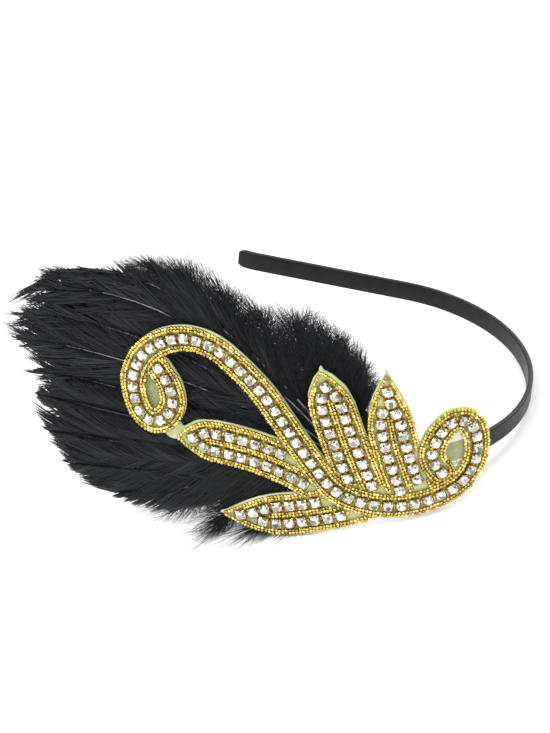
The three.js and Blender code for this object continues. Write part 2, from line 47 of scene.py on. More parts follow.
# How the headband lies at rest, and the ornament bent round the head
band = {
    "wide": 7.5, "thick": 2.0, "deep": 61.0, "half": 64.0,
    "toeIn": 10, "arm": 60.0, "tip": 8.0, "flare": 9,
}
resting = {"turn": (0.9900069, -0.06394046, 0.12568995, 0.0), "at": (71.47247, 8.96539, 5.74224)}
frameAxes = np.array(Quaternion(resting["turn"]).to_matrix()).T
frameZero = np.array(resting["at"]) * mm
seat = {"turn": 75, "toBacking": 8.8, "crownRadius": 90.0, "armRadius": 300.0}


# Millimetres in the band's frame to metres in the row frame
def toRow(points):
    return np.asarray(points, float) * mm @ frameAxes + frameZero


def bandPoint(turn, side=1):
    angle = math.radians(turn)
    return np.array([-band["deep"] * (1 - math.cos(angle)), side * band["half"] * math.sin(angle)])


def bandAlong(turn, side=1):
    angle = math.radians(turn)
    run = np.array([-band["deep"] * math.sin(angle), side * band["half"] * math.cos(angle)])
    return run / np.linalg.norm(run)


seatAt = bandPoint(seat["turn"], -1)
seatAngle = math.atan2(*(-bandAlong(seat["turn"], -1))[::-1])


# (u, v, h) in millimetres to metres in the row frame
def onHead(points):
    points = np.asarray(points, float).reshape(-1, 3)
    radius = np.where(points[:, 0] > 0, seat["crownRadius"], seat["armRadius"])
    turn = seatAngle + points[:, 0] / radius
    back = seat["toBacking"] - radius
    x = seatAt[0] + math.sin(seatAngle) * back + np.sin(turn) * (radius + points[:, 2])
    y = seatAt[1] - math.cos(seatAngle) * back - np.cos(turn) * (radius + points[:, 2])
    return toRow(np.stack([x, y, points[:, 1]], -1))


# Where a small rigid piece sits on the ornament, turned by an angle in its plane
def seatMatrix(u, v, h, angle):
    near = 0.5
    middle, ahead, above, out = onHead([[u, v, h], [u + near, v, h], [u, v + near, h], [u, v, h + near]])
    axes = [(p - middle) / np.linalg.norm(p - middle) for p in (ahead, above, out)]
    c, s = math.cos(angle), math.sin(angle)
    return np.array([axes[0] * c + axes[1] * s, axes[1] * c - axes[0] * s, axes[2]]), middle


# A shader socket that takes part in Python sums
class Value:
    def __init__(self, tree, socket):
        self.tree, self.socket = tree, socket

    def math(self, operation, first, second):
        node = self.tree.nodes.new("ShaderNodeMath")
        node.operation = operation
        for slot, value in zip(node.inputs, (first, second)):
            if isinstance(value, Value):
                self.tree.links.new(value.socket, slot)
            else:
                slot.default_value = value
        return Value(self.tree, node.outputs[0])

    def __add__(self, other):
        return self.math("ADD", self, other)

    def __rsub__(self, other):
        return self.math("SUBTRACT", other, self)

    def __mul__(self, other):
        return self.math("MULTIPLY", self, other)

    __radd__, __rmul__ = __add__, __mul__


# One material: constants on its shader's own sockets, and nodes for what varies
class Finish:
    def __init__(self, name, **constants):
        self.material = bpy.data.materials.new(name)
        self.material.use_nodes = True
        self.tree = self.material.node_tree
        self.shader = self.tree.nodes["Principled BSDF"]
        for key, value in constants.items():
            self.shader.inputs[key.replace("_", " ")].default_value = value

    def node(self, kind, settings=None, out=0, **values):
        made = self.tree.nodes.new("ShaderNode" + kind)
        for key, value in (settings or {}).items():
            if key == "stops":
                ramp = made.color_ramp
                while len(ramp.elements) < len(value):
                    ramp.elements.new(0.5)
                for element, (place, colour) in zip(ramp.elements, value):
                    element.position, element.color = place, (*colour, 1)
            else:
                setattr(made, key, value)
        for key, value in values.items():
            self.plug(made.inputs[key.replace("_", " ")], value)
        return Value(self.tree, made.outputs[out])

    def plug(self, slot, value):
        if isinstance(value, Value):
            self.tree.links.new(value.socket, slot)
        else:
            slot.default_value = value

    def feed(self, **values):
        for key, value in values.items():
            self.plug(self.shader.inputs[key.replace("_", " ")], value)
        return self.material

    def attribute(self, name):
        return self.node("Attribute", {"attribute_name": name}, 2)

    def noise(self, scale, detail):
        return self.node("TexNoise", Vector=self.node("TexCoord", out=3), Scale=scale, Detail=detail)

    def wave(self, uv, direction, scale, **more):
        return self.node("TexWave", {"bands_direction": direction}, out=1, Vector=uv, Scale=scale, **more)

    def ramp(self, factor, *stops):
        return self.node("ValToRGB", {"stops": stops}, Fac=factor)

    def bump(self, height, distance, strength):
        return self.node("Bump", Height=height, Distance=distance, Strength=strength)


def satinFinish():
    finish = Finish("black_satin", Specular_IOR_Level=0.22, Sheen_Weight=0.04, Sheen_Roughness=0.35)
    uv = finish.node("UVMap", {"uv_map": "lay"})
    ribs = finish.wave(uv, "X", 900.0, Distortion=0.6, Detail=1.0)
    soft = finish.noise(220.0, 4)
    tone = finish.ramp(soft, (0.3, (0.0035, 0.0035, 0.004)), (0.7, (0.009, 0.009, 0.011)))
    height = ribs * 0.4 + soft * 0.6
    ridges = finish.bump(height, 0.00008, 0.5)
    return finish.feed(Base_Color=tone, Roughness=soft * 0.2 + 0.3, Normal=ridges)


def feltFinish():
    finish = Finish("black_felt", Specular_IOR_Level=0.2, Sheen_Weight=0.4, Sheen_Roughness=0.6)
    fibre = finish.noise(2600.0, 5)
    tone = finish.ramp(fibre, (0.3, (0.004, 0.004, 0.004)), (0.8, (0.02, 0.019, 0.02)))
    fuzz = finish.bump(fibre, 0.0003, 0.8)
    return finish.feed(Base_Color=tone, Roughness=fibre * 0.1 + 0.88, Normal=fuzz)


def organzaFinish():
    finish = Finish("sage_organza", Specular_IOR_Level=0.4, Sheen_Weight=0.2, Sheen_Roughness=0.4)
    uv = finish.node("UVMap", {"uv_map": "lay"})
    warp = finish.wave(uv, "X", 640.0, Distortion=0.3)
    weft = finish.wave(uv, "Y", 640.0, Distortion=0.3)
    weave = warp * 0.5 + weft * 0.5
    patch = finish.noise(90.0, 4)
    sages = (0.25, (0.30, 0.33, 0.13)), (0.55, (0.55, 0.58, 0.30)), (0.8, (0.72, 0.76, 0.55))
    tone = finish.ramp(patch * 0.85 + weave * 0.15, *sages)
    cover = 1 - finish.attribute("sheer") * 0.62
    threads = finish.bump(weave, 0.0001, 0.6)
    return finish.feed(Base_Color=tone, Roughness=patch * 0.2 + 0.45, Alpha=cover, Normal=threads)


def goldBeadFinish():
    finish = Finish("gold_beads", Metallic=1.0, Coat_Weight=0.5, Coat_Roughness=0.08)
    tone = finish.attribute("tone")
    golds = (
        (0.0, (0.22, 0.15, 0.02)), (0.4, (0.50, 0.36, 0.06)),
        (0.8, (0.74, 0.58, 0.15)), (1.0, (0.96, 0.86, 0.45)),
    )
    pits = finish.noise(1800.0, 3)
    rough = tone * 0.12 + pits * 0.1 + 0.12
    dents = finish.bump(pits, 0.00003, 0.5)
    return finish.feed(Base_Color=finish.ramp(tone, *golds), Roughness=rough, Normal=dents)


def goldCupFinish():
    finish = Finish("gold_cups", Metallic=1.0)
    wear = finish.noise(700.0, 4)
    golds = (0.3, (0.36, 0.25, 0.06)), (0.55, (0.72, 0.52, 0.14)), (0.8, (0.9, 0.74, 0.3))
    colour = finish.ramp(wear, *golds)
    dents = finish.bump(wear, 0.00003, 0.4)
    return finish.feed(Base_Color=colour, Roughness=wear * 0.25 + 0.18, Normal=dents)


def crystalFinish():
    finish = Finish("cut_crystal", Specular_IOR_Level=0.9, Coat_Weight=1.0, Coat_Roughness=0.02, Coat_IOR=1.6)
    # The facets' brightness is painted light: a painted reflection per facet, from dark to white, drives the
    # base colour and the metallic
    glint = finish.attribute("glint")
    greys = (
        (0.0, (0.02, 0.018, 0.014)), (0.2, (0.15, 0.14, 0.11)), (0.5, (0.46, 0.44, 0.38)),
        (0.75, (0.74, 0.73, 0.68)), (1.0, (0.94, 0.93, 0.90)),
    )
    colour = finish.ramp(glint, *greys)
    flaw = finish.noise(900.0, 2)
    return finish.feed(Base_Color=colour, Metallic=glint * 0.25 + 0.35, Roughness=flaw * 0.1 + 0.04)


def featherFinish(name, low, high, rough, sheen):
    blue = (0.8, 0.86, 1.0, 1.0)
    finish = Finish(name, Specular_IOR_Level=0.22, Sheen_Weight=sheen, Sheen_Roughness=0.4, Sheen_Tint=blue)
    tone = finish.attribute("tone")
    palest = tuple(3.2 * x for x in high)
    colour = finish.ramp(tone, (0.0, low), (0.75, high), (1.0, palest))
    lines = finish.bump(finish.noise(3500.0, 2), 0.00004, 0.4)
    return finish.feed(Base_Color=colour, Roughness=tone * 0.1 + rough, Normal=lines)


def floorFinish():
    finish = Finish("pale_floor", Specular_IOR_Level=0.15)
    cloud = finish.noise(3.0, 2)
    tone = finish.ramp(cloud, (0.3, (0.90, 0.90, 0.90)), (0.7, (0.93, 0.93, 0.93)))
    return finish.feed(Base_Color=tone, Roughness=cloud * 0.05 + 0.7)


def asObject(name, mesh, materials, smooth=True):
    piece = bpy.data.objects.new(name, mesh)
    bpy.context.scene.collection.objects.link(piece)
    for material in materials:
        mesh.materials.append(material)
    if smooth:
        mesh.shade_smooth()
    else:
        mesh.shade_flat()
    return piece


def fromBmesh(name, shape):
    mesh = bpy.data.meshes.new(name)
    shape.to_mesh(mesh)
    shape.free()
    return mesh


# A small shape's corners and triangles as arrays, with each triangle's material and facet
def unitOf(shape):
    faceOf = {face: i for i, face in enumerate(shape.faces)}
    triangles, kinds, facets = [], [], []
    shape.verts.index_update()
    for loops in shape.calc_loop_triangles():
        triangles.append([loop.vert.index for loop in loops])
        kinds.append(loops[0].face.material_index)
        facets.append(faceOf[loops[0].face])
    corners = np.array([v.co for v in shape.verts], float)
    shape.free()
    return corners, np.array(triangles), np.array(kinds), np.array(facets)


# One mesh from many placed copies of a small shape
def joinCopies(name, unit, seats, materials, sizes=None, attribute=None, values=None, smooth=True):
    corners, triangles, kinds, facets = unit
    count = len(seats)
    axes = np.array([axis for axis, _ in seats])
    middles = np.array([middle for _, middle in seats])
    sizes = np.ones((count, 3)) if sizes is None else sizes
    points = np.einsum("nvk,nkj->nvj", corners[None] * sizes[:, None] * mm, axes) + middles[:, None]
    faces = (triangles[None] + (np.arange(count) * len(corners))[:, None, None]).reshape(-1, 3)
    mesh = bpy.data.meshes.new(name)
    mesh.from_pydata(points.reshape(-1, 3).tolist(), [], faces.tolist())
    piece = asObject(name, mesh, materials, smooth)
    mesh.polygons.foreach_set("material_index", np.tile(kinds, count).astype(np.int32))
    if attribute:
        data = mesh.attributes.new(attribute, "FLOAT", "FACE").data
        data.foreach_set("value", values(count, facets).astype(np.float32).ravel())
    return piece


def resampled(line, spacing):
    line = np.asarray(line, float)
    steps = np.linalg.norm(np.diff(line, axis=0), axis=1)
    run = np.concatenate([[0], np.cumsum(steps)])
    count = max(2, round(run[-1] / spacing))
    stations = np.linspace(0, run[-1], count + 1)
    return np.stack([np.interp(stations, run, line[:, k]) for k in range(line.shape[1])], -1)


# An open curve through the points, at an even spacing
def smoothLine(points, spacing):
    p = np.asarray(points, float)
    p = np.vstack([2 * p[0] - p[1], p, 2 * p[-1] - p[-2]])
    t = np.linspace(0, 1, 24, endpoint=False)[:, None]
    pieces = []
    for a, b, c, d in zip(p, p[1:], p[2:], p[3:]):
        square = 2 * a - 5 * b + 4 * c - d
        cube = 3 * b - a - 3 * c + d
        pieces.append(0.5 * (2 * b + (c - a) * t + square * t**2 + cube * t**3))
    return resampled(np.vstack([*pieces, p[-2:-1]]), spacing)


def bezier(start, middle, end, count):
    t = np.linspace(0, 1, count)[:, None]
    start, middle, end = (np.asarray(p, float) for p in (start, middle, end))
    control = 2 * middle - (start + end) / 2
    return (1 - t) ** 2 * start + 2 * t * (1 - t) * control + t**2 * end


def directions(line):
    ends = np.vstack([line[:1], line, line[-1:]])
    run = ends[2:] - ends[:-2]
    return run / np.linalg.norm(run, axis=1)[:, None]


def beside(line, distance):
    run = directions(line)
    return line + np.stack([-run[:, 1], run[:, 0]], -1) * distance


def nearest(points, line):
    return np.linalg.norm(np.asarray(points)[:, None] - np.asarray(line)[None], axis=2).min(1)


# The ornament's measures and lines, in millimetres
ornament = {"wide": 130.0, "high": 72.0, "leafHalf": 7.3, "leafPoint": 3.0, "bedded": 1.3}
chain = {
    "pitch": 4.8, "cup": 4.1, "slack": 0.98, "fromTip": 5.4,
    "rope": 0.9, "ropeGap": 0.8, "clearance": 0.3,
}
ropeOffset = chain["cup"] / 2 + chain["ropeGap"] + chain["rope"]
scrollRoute = [
    (-0.512, 0.375), (-0.478, 0.295), (-0.464, 0.195), (-0.483, 0.105), (-0.52, 0.068), (-0.557, 0.11),
    (-0.58, 0.21), (-0.583, 0.31), (-0.558, 0.43), (-0.505, 0.53), (-0.435, 0.583), (-0.362, 0.57),
    (-0.29, 0.492), (-0.215, 0.375), (-0.155, 0.243), (-0.065, 0.035), (0.01, -0.108), (0.1, -0.163),
    (0.205, -0.163), (0.3, -0.11), (0.36, -0.03), (0.387, 0.085), (0.382, 0.21), (0.354, 0.3),
    (0.31, 0.315), (0.275, 0.245), (0.259, 0.145), (0.27, 0.075), (0.294, 0.02),
]
leafTable = {
    "tall_leaf": ((0.085, -0.09), (0.004, 0.243), (-0.06, 0.545), 0.2),
    "right_leaf": ((0.217, -0.09), (0.146, 0.25), (0.115, 0.565), 0.32),
    "left_leaf": ((-0.046, -0.07), (-0.231, 0.031), (-0.438, 0.014), 0.18),
    "low_leaf": ((0.138, -0.11), (-0.092, -0.281), (-0.285, -0.361), 0.3),
}
# The sheer cloth in both loops, and the opaque bridge from the left loop to its leaf
windows = [((-0.525, 0.235), 0.055), ((0.32, 0.16), 0.06)]
bridges = [((-0.458, 0.045), 0.03)]
ornamentSize = np.array([ornament["wide"], ornament["high"]])
scrollLine = smoothLine(np.array(scrollRoute) * ornamentSize, chain["pitch"])
scrollFine = resampled(smoothLine(np.array(scrollRoute) * ornamentSize, 0.5), 0.5)


def leafRib(root, middle, tip, opening):
    low, mid, high = (np.array(p) * ornamentSize for p in (root, middle, tip))
    fine = bezier(high, mid, low, 200)
    rib = resampled(fine, chain["pitch"])
    spacing = np.linalg.norm(rib[1] - rib[0])
    opened = np.minimum(1, np.arange(len(rib)) * spacing / (opening * ornament["high"]))
    return rib, ornament["leafHalf"] * np.sin(math.pi / 2 * opened)


def leafEdge(rib, half, side, inset):
    run = directions(rib)
    out = side * np.maximum(0, half - inset)[:, None]
    return rib + np.stack([-run[:, 1], run[:, 0]], -1) * out


laid = []


# The same rows as the solids: each stone keeps its distance from those already there
def layStones():
    rows = {"scroll_stones": list(zip(scrollLine, directions(scrollLine)))}
    laid.extend(scrollLine)
    room = chain["cup"] + 2 * chain["rope"] + 2 * chain["clearance"]
    for name, (root, middle, tip, opening) in leafTable.items():
        rib, half = leafRib(root, middle, tip, opening)
        both = []
        for side in (1, -1):
            start = int(np.argmax(half > ropeOffset))
            line = smoothLine(leafEdge(rib, half, side, ropeOffset)[start - 1:], chain["pitch"] / 16)
            near = nearest(line, scrollFine) < room
            line, run = line[: int(np.argmax(near)) if near.any() else len(line)], directions(line)
            row = []
            for point, along in zip(line, run):
                free = all(np.linalg.norm(point - other) >= chain["pitch"] * chain["slack"] for other in laid)
                if free and np.linalg.norm(point - rib[0]) > chain["fromTip"]:
                    laid.append(point)
                    row.append((point, along))
            both.append(row)
        rows[name + "_stones"] = both[1][::-1] + both[0]
    return rows


print("lines and rows")
stoneRows = layStones()


def satinBand(material):
    look = {
        "crownSteps": 90, "armSteps": 26, "tipSteps": 8, "bendRate": 1.6, "edge": 0.62, "corner": 4,
        "narrowing": 0.28, "narrowRings": 3, "pucker": 0.012, "puckerFrom": 0.9,
        "puckerRates": (0.9, 0.8, 0.21), "girth": 0.019, "lowest": 0.02,
    }
    stations = []
    for side in (1, -1):
        arm = []
        for turn in np.linspace(0, 90 + band["toeIn"], look["crownSteps"]):
            arm.append((bandPoint(turn, side), bandAlong(turn, side)))
        at, along = arm[-1]
        for step in range(1, look["armSteps"] + 1):
            arm.append((at + along * band["arm"] * step / look["armSteps"], along))
        at = arm[-1][0]
        for step in range(1, look["tipSteps"] + 1):
            share = step / look["tipSteps"]
            bend = side * math.radians(-band["flare"]) * min(1, share * look["bendRate"])
            c, s = math.cos(bend), math.sin(bend)
            turned = np.array([along[0] * c - along[1] * s, along[0] * s + along[1] * c])
            at = at + turned * (band["tip"] / look["tipSteps"])
            arm.append((at, turned))
        stations.append(arm)
    far = [(at, -along) for at, along in stations[0][::-1]]
    path = far + stations[1][1:]
    section = []
    halfWide, halfThick, edge = band["wide"] / 2, band["thick"] / 2, look["edge"]
    for corner in range(4):
        for k in range(look["corner"] + 1):
            angle = math.pi / 2 * (corner + k / look["corner"])
            cx = (halfThick - edge) * (1 if corner in (0, 3) else -1)
            cz = (halfWide - edge) * (1 if corner in (0, 1) else -1)
            section.append((cx + edge * math.cos(angle), cz + edge * math.sin(angle)))
    shape = bmesh.new()
    rings, lay = [], {}
    fast, drift, slow = look["puckerRates"]
    run = 0.0
    for i, (at, along) in enumerate(path):
        run += 0 if i == 0 else float(np.linalg.norm(at - path[i - 1][0]))
        left = min(i, len(path) - 1 - i)
        narrow = 1 - look["narrowing"] * (1 - min(1, left / look["narrowRings"])) ** 2
        pucker = look["pucker"] * (1 + math.sin(run * fast + drift * math.sin(run * slow)))
        ring = []
        for k, (out, up) in enumerate(section):
            aside = out * (1 - pucker * (abs(out) > look["puckerFrom"])) * narrow
            place = toRow([[at[0] - along[1] * aside, at[1] + along[0] * aside, up * narrow]])[0]
            vert = shape.verts.new((place[0], place[1], max(place[2], look["lowest"] * mm)))
            lay[vert] = (run * mm, k / len(section) * look["girth"])
            ring.append(vert)
        rings.append(ring)
    shape.faces.new(rings[0][::-1])
    shape.faces.new(rings[-1])
    for a, b in zip(rings, rings[1:]):
        for k in range(len(a)):
            shape.faces.new((a[k], a[(k + 1) % len(a)], b[(k + 1) % len(a)], b[k]))
    bmesh.ops.recalc_face_normals(shape, faces=shape.faces)
    uv = shape.loops.layers.uv.new("lay")
    for face in shape.faces:
        for loop in face.loops:
            loop[uv].uv = lay[loop.vert]
    return asObject("satin_band", fromBmesh("satin_band", shape), [material])


def feltPad(material):
    look = {
        "at": (-0.014, 0.117), "radius": 17.0, "front": -6.0, "thick": 1.5, "rings": 9, "sides": 72,
        "core": 0.35, "wave": 0.006, "waves": 13, "ragged": 0.003, "bumpy": 0.05,
    }
    middle = np.array(look["at"]) * ornamentSize
    shape = bmesh.new()
    bmesh.ops.create_circle(shape, cap_ends=True, radius=look["radius"] * look["core"], segments=look["sides"])
    reach = np.linspace(look["core"], 1, look["rings"] + 1)
    for inner, outer in zip(reach, reach[1:]):
        edges = [edge for edge in shape.edges if edge.is_boundary]
        grown = bmesh.ops.extrude_edge_only(shape, edges=edges)["geom"]
        verts = [v for v in grown if isinstance(v, bmesh.types.BMVert)]
        bmesh.ops.scale(shape, vec=(outer / inner, outer / inner, 1), verts=verts)
    for vert in shape.verts:
        angle = math.atan2(vert.co.y, vert.co.x)
        wave = look["wave"] * math.sin(look["waves"] * angle)
        size = 1 + wave + dice.uniform(-look["ragged"], look["ragged"])
        height = look["front"] - look["thick"] / 2 + dice.uniform(-look["bumpy"], look["bumpy"])
        vert.co = onHead([(middle[0] + vert.co.x * size, middle[1] + vert.co.y * size, height)])[0]
    piece = asObject("felt_disc", fromBmesh("felt_disc", shape), [material])
    wall = piece.modifiers.new("wall", "SOLIDIFY")
    wall.thickness, wall.offset = look["thick"] * mm, 0
    return piece


# The backing cloth is cut a little outside the bead ropes
def backingCloth(material):
    look = {
        "step": 0.62, "fine": 0.4, "mid": 0.5, "thick": 0.9, "sheerFrom": 0.9, "margin": 0.12,
        "point": 0.1, "pointSteps": 9, "low": (-84.0, -34.0), "high": (60.0, 52.0),
        "keep": 0.5, "passes": 2, "probe": 0.05, "leastSlope": 0.2, "blocks": 40,
    }
    reach = ropeOffset + chain["rope"] + look["margin"]
    discs = [(scrollFine, np.full(len(scrollFine), reach))]
    for root, middle, tip, opening in leafTable.values():
        rib, half = leafRib(root, middle, tip, opening)
        fine = resampled(rib, look["fine"])
        share = np.linspace(0, 1, len(fine))
        wide = np.interp(share, np.linspace(0, 1, len(rib)), half) + chain["rope"] + look["margin"]
        point = rib[0] - directions(rib)[0] * ornament["leafPoint"]
        spike = np.linspace(point, fine[0], look["pointSteps"])
        sharp = np.linspace(look["point"], chain["rope"] + look["margin"], look["pointSteps"])
        discs += [(fine, wide), (spike, sharp)]
    for at, size in windows + bridges:
        discs.append((np.array([at]) * ornamentSize, np.array([size * ornament["wide"]])))

    def outside(points):
        best = np.full(len(points), 1e9)
        for line, wide in discs:
            far = np.linalg.norm(points[:, None] - line[None], axis=2) - wide[None]
            best = np.minimum(best, far.min(1))
        return best

    shape = bmesh.new()
    sheer = shape.verts.layers.float.new("sheer")
    uv = shape.loops.layers.uv.new("lay")
    low, high = np.array(look["low"]), np.array(look["high"])
    count = np.ceil((high - low) / look["step"]).astype(int)
    bmesh.ops.create_grid(shape, x_segments=int(count[0]), y_segments=int(count[1]), size=0.5)
    for vert in shape.verts:
        vert.co.x = (vert.co.x + 0.5) * (high[0] - low[0]) + low[0]
        vert.co.y = (vert.co.y + 0.5) * (high[1] - low[1]) + low[1]
    verts = list(shape.verts)
    flat = np.array([v.co for v in verts])[:, :2]
    gap = np.concatenate([outside(part) for part in np.array_split(flat, look["blocks"])])
    gone = [v for v, d in zip(verts, gap) if d > look["step"] * look["keep"]]
    bmesh.ops.delete(shape, geom=gone, context="VERTS")
    loose = [v for v in shape.verts if not v.link_faces]
    bmesh.ops.delete(shape, geom=loose, context="VERTS")
    edge = [v for v in shape.verts if v.is_boundary]
    probe = look["probe"]
    for _ in range(look["passes"]):
        flat = np.array([v.co for v in edge])[:, :2]
        here = outside(flat)
        slope = np.stack([outside(flat + [probe, 0]) - here, outside(flat + [0, probe]) - here], -1) / probe
        size = np.maximum(look["leastSlope"], np.linalg.norm(slope, axis=1))[:, None]
        for vert, move in zip(edge, -slope / size * here[:, None]):
            vert.co.x += move[0]
            vert.co.y += move[1]
    verts = list(shape.verts)
    flat = np.array([v.co for v in verts])[:, :2]
    beads = nearest(flat, scrollFine)
    lay = {}
    for vert, spot, far in zip(verts, flat, beads):
        inLoop = (np.linalg.norm(spot - at * ornamentSize) < size * ornament["wide"] for at, size in windows)
        vert[sheer] = 1.0 if any(inLoop) and far > reach - look["sheerFrom"] else 0.0
        lay[vert] = spot * mm
    for face in shape.faces:
        for loop in face.loops:
            loop[uv].uv = lay[loop.vert]
    for vert, place in zip(verts, onHead(np.column_stack([flat, np.full(len(flat), look["mid"])]))):
        vert.co = place
    piece = asObject("organza_backing", fromBmesh("organza_backing", shape), [material])
    wall = piece.modifiers.new("wall", "SOLIDIFY")
    wall.thickness, wall.offset = look["thick"] * mm, 0
    return piece


def cupUnit():
    look = {
        "size": 4.25, "high": 1.35, "corner": 0.7, "rim": 0.14, "well": 0.5,
        "prong": 0.6, "inset": 0.52, "lean": 0.42, "taper": 0.6, "lift": 0.15, "stretch": 1.25,
    }
    shape = bmesh.new()
    bmesh.ops.create_cube(shape, size=1)
    bmesh.ops.scale(shape, vec=(look["size"], look["size"], look["high"]), verts=shape.verts)
    bmesh.ops.translate(shape, vec=(0, 0, look["high"] / 2), verts=shape.verts)
    upright = [e for e in shape.edges if abs(e.verts[0].co.z - e.verts[1].co.z) > 1]
    bmesh.ops.bevel(
        shape, geom=upright, offset=look["corner"], segments=2, profile=0.5, affect="EDGES", material=-1,
    )
    top = [f for f in shape.faces if f.normal.z > 0.9]
    bmesh.ops.inset_region(shape, faces=top, thickness=look["rim"])
    bmesh.ops.translate(shape, vec=(0, 0, -look["well"]), verts=list({v for f in top for v in f.verts}))
    for x in (-1, 1):
        for y in (-1, 1):
            for vert in bmesh.ops.create_cube(shape, size=look["prong"])["verts"]:
                upper = vert.co.z > 0
                spot = look["size"] / 2 - look["inset"] - (look["lean"] if upper else 0.0)
                taper = look["taper"] if upper else 1.0
                height = look["high"] + look["lift"] + vert.co.z * look["stretch"]
                vert.co = (x * spot + vert.co.x * taper, y * spot + vert.co.y * taper, height)
    return unitOf(shape)


# Rings of corners from table to pavilion: radius, height, how many, and their shift in steps
def stoneUnit():
    rows = [(0.98, 2.7, 8, 0), (1.5, 2.3, 8, 0.5), (2.06, 1.55, 16, 0), (2.0, 1.2, 16, 0.5), (0.9, 0.75, 8, 0)]
    look = {"square": 3.2, "size": 0.94, "flat": 0.02}
    shape = bmesh.new()
    for radius, height, count, turn in rows:
        for k in range(count):
            angle = 2 * math.pi * (k + turn) / count + math.pi / 8
            c, s = math.cos(angle), math.sin(angle)
            square = (abs(c) ** look["square"] + abs(s) ** look["square"]) ** (-1 / look["square"])
            reach = radius * square * look["size"]
            shape.verts.new((reach * c, reach * s, height))
    bmesh.ops.convex_hull(shape, input=shape.verts)
    bmesh.ops.dissolve_limit(shape, angle_limit=look["flat"], verts=shape.verts, edges=shape.edges)
    return unitOf(shape)


def linkUnit():
    look = {"size": (1.6, 1.3, 0.5), "middle": (chain["pitch"] / 2, 0, 0.4), "edge": 0.12}
    shape = bmesh.new()
    bmesh.ops.create_cube(shape, size=1)
    bmesh.ops.scale(shape, vec=look["size"], verts=shape.verts)
    bmesh.ops.translate(shape, vec=look["middle"], verts=shape.verts)
    edges = list(shape.edges)
    bmesh.ops.bevel(
        shape, geom=edges, offset=look["edge"], segments=1, profile=0.5, affect="EDGES", material=-1,
    )
    return unitOf(shape)


# Several small shapes as one, each with a material of its own
def merged(units):
    corners, triangles, kinds, facets = [], [], [], []
    shift = facetShift = 0
    for kind, (c, t, _, f) in enumerate(units):
        corners.append(c)
        triangles.append(t + shift)
        kinds.append(np.full(len(t), kind))
        facets.append(f + facetShift)
        shift += len(c)
        facetShift += f.max() + 1
    return np.vstack(corners), np.vstack(triangles), np.concatenate(kinds), np.concatenate(facets)


# Painted reflections: how bright each facet of each stone is painted, a few dark, most pale, some white, in
# place of the light and shade the cut stones catch
def paintedFacetLights(count, facets):
    drawn = grain.beta(0.9, 0.7, (count, facets.max() + 1))
    return drawn[:, facets]


def stoneRow(name, row, crystal, gold):
    look = {"tilt": 0.035, "lean": 0.04, "sink": 0.2}
    unit = merged([stoneUnit(), cupUnit(), linkUnit()])
    seats = []
    for point, along in row:
        angle = math.atan2(along[1], along[0]) + grain.normal(0, look["tilt"])
        axes, middle = seatMatrix(point[0], point[1], ornament["bedded"] - look["sink"], angle)
        lean = Matrix.Rotation(grain.normal(0, look["lean"]), 3, "X")
        lean = lean @ Matrix.Rotation(grain.normal(0, look["lean"]), 3, "Y")
        seats.append((np.array(lean) @ axes, middle))
    finishes = [crystal, gold, gold]
    # Each facet carries its painted reflection brightness as a face attribute
    return joinCopies(name, unit, seats, finishes, attribute="glint", values=paintedFacetLights, smooth=False)


def beadUnit():
    shape = bmesh.new()
    bmesh.ops.create_uvsphere(shape, u_segments=8, v_segments=5, radius=1)
    bmesh.ops.rotate(shape, matrix=Matrix.Rotation(math.pi / 2, 3, "Y"), verts=shape.verts)
    return unitOf(shape)


# Seed beads: half a length and a radius, how far a rope's two strings lie from its middle, and their play
strung = {
    "pitch": 1.28, "length": 0.72, "radius": 0.7, "pair": 0.6, "apart": 0.95, "fromCup": 0.5, "sink": 0.15,
    "spread": 0.08, "turn": 0.09, "lift": 0.05, "thick": (0.92, 1.06), "long": (0.9, 1.1),
    "edgeIn": 0.1, "veinShare": 0.9, "stopShare": 1.9,
}
beadsLaid = []


def beadTones(count, facets):
    return np.repeat(grain.beta(2.2, 1.6, count)[:, None], len(facets), 1)


def beadRope(name, lines, gold, keepOff=0.0):
    seats, sizes = [], []
    stones = np.array(laid)
    for line in lines:
        line = resampled(line, strung["pitch"])
        run = directions(line)
        for point, along in zip(line, run):
            if nearest([point], stones)[0] < chain["cup"] / 2 + strung["fromCup"]:
                continue
            if keepOff and nearest([point], scrollFine)[0] < keepOff:
                continue
            if beadsLaid and nearest([point], beadsLaid)[0] < strung["apart"]:
                continue
            beadsLaid.append(point)
            angle = math.atan2(along[1], along[0]) + grain.normal(0, strung["turn"])
            wander = grain.normal(0, strung["spread"], 2)
            height = ornament["bedded"] - strung["sink"] + strung["radius"] + grain.normal(0, strung["lift"])
            seats.append(seatMatrix(point[0] + wander[0], point[1] + wander[1], height, angle))
            thick = strung["radius"] * grain.uniform(*strung["thick"])
            sizes.append((strung["length"] * grain.uniform(*strung["long"]), thick, thick))
    return joinCopies(name, beadUnit(), seats, [gold], np.array(sizes), "tone", beadTones)


# Half a turn of rope round the end of the scroll
def endTurn(centre, along, shift):
    start = math.atan2(along[1], along[0]) + math.pi / 2
    angles = start - np.linspace(0, math.pi, 13)
    return centre + np.stack([np.cos(angles), np.sin(angles)], -1) * (ropeOffset + shift)


# The whole spray's outline, in millimetres on the ornament's plane
outline = np.array([
    (5.2, 22.7), (11.4, 34.6), (0.7, 49.5), (-10.8, 57.5), (-21.6, 57.3), (-32.5, 56.9), (-40.2, 61.1),
    (-46.9, 61.5), (-61.5, 69.6), (-82.4, 62.7), (-94.2, 57.4), (-114.9, 49.5), (-127.0, 25.6), (-122.5, 16.1),
    (-114.7, 5.1), (-116.5, -3.3), (-109.3, -14.3), (-98.6, -26.7), (-84.8, -31.4), (-72.3, -33.3),
    (-60.1, -35.6), (-51.9, -38.5), (-36.0, -42.9), (-13.6, -37.6), (-3.2, -27.7),
])


